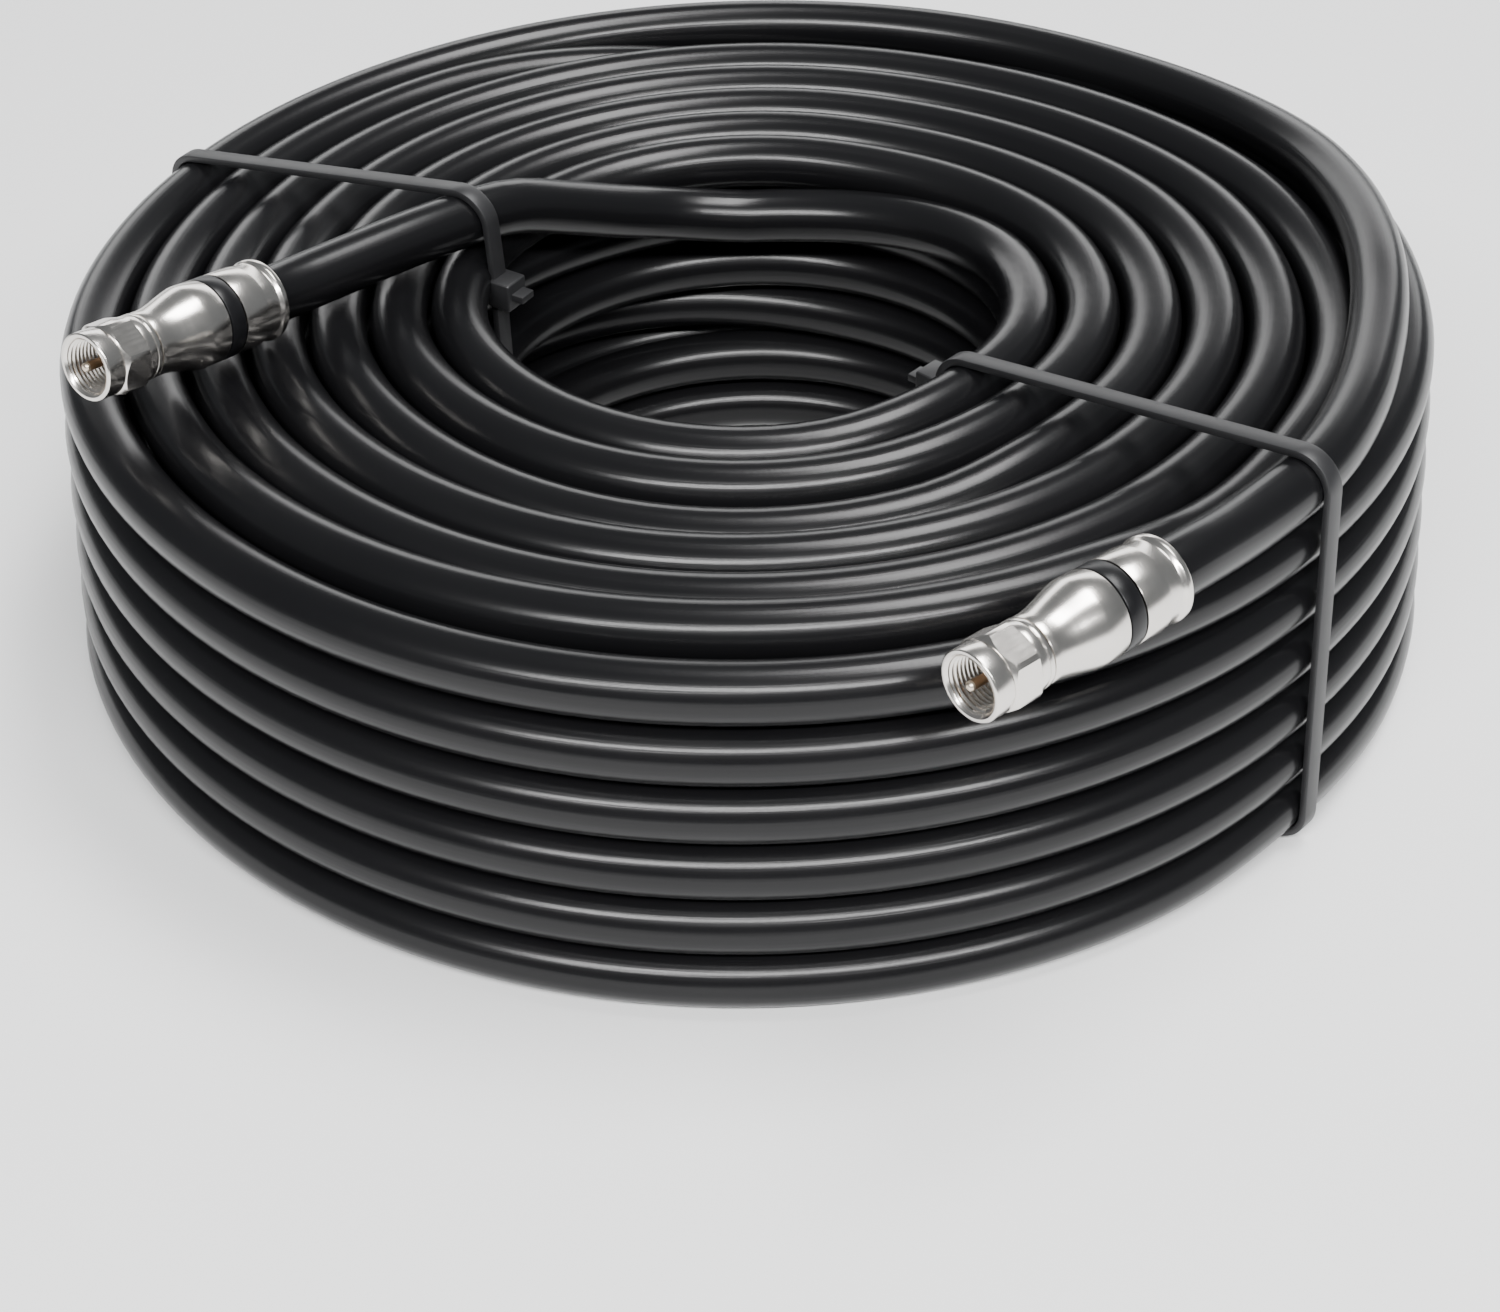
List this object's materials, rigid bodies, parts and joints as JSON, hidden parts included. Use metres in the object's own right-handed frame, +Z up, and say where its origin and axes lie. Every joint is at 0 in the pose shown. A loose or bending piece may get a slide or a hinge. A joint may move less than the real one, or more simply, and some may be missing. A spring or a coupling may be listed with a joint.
{
  "type": "coaxial cable coil",
  "caption": "Flat round coil of heavy black coaxial cable with a metal screw-on plug on each end, held by cable ties.",
  "frame": {"origin": "middle of the footprint on the floor that the coil lies on", "axes": "+Z up along the coil's axis, -Y towards the front, where plug B lies; +X to the right"},
  "size_m": [0.2578, 0.2686, 0.0855],
  "materials": {
    "jacket": "smooth black polyethylene jacket, satin",
    "nylon": "moulded black nylon, satin",
    "nickel": "turned brass with bright nickel plating",
    "colour_ring": "black moulded ring, satin",
    "insulator": "cream plastic, matt",
    "conductor": "copper-clad steel, drawn"
  },
  "bodies": {
    "coil": {"cable_coil": "jacket", "cable_end_a": "jacket", "cable_end_b": "jacket", "tie_left": "nylon", "tie_right": "nylon", "plug_body_a": "nickel", "centre_post_a": "nickel", "insulator_a": "insulator", "centre_conductor_a": "conductor", "colour_ring_a": "colour_ring", "compression_sleeve_a": "nickel", "plug_body_b": "nickel", "centre_post_b": "nickel", "insulator_b": "insulator", "centre_conductor_b": "conductor", "colour_ring_b": "colour_ring", "compression_sleeve_b": "nickel"},
    "nut_a": {"coupling_nut_a": "nickel"},
    "nut_b": {"coupling_nut_b": "nickel"}
  },
  "joints": [
    {"name": "nut_a_turn", "type": "hinge", "parent": "coil", "child": "nut_a", "pos_m": [-0.10926, -0.04969, 0.0797], "axis": [-0.5999, -0.7849, 0.155], "continuous": true},
    {"name": "nut_b_turn", "type": "hinge", "parent": "coil", "child": "nut_b", "pos_m": [0.03108, -0.12982, 0.07381], "axis": [-0.7581, -0.6521, 0.009], "continuous": true}
  ]
}
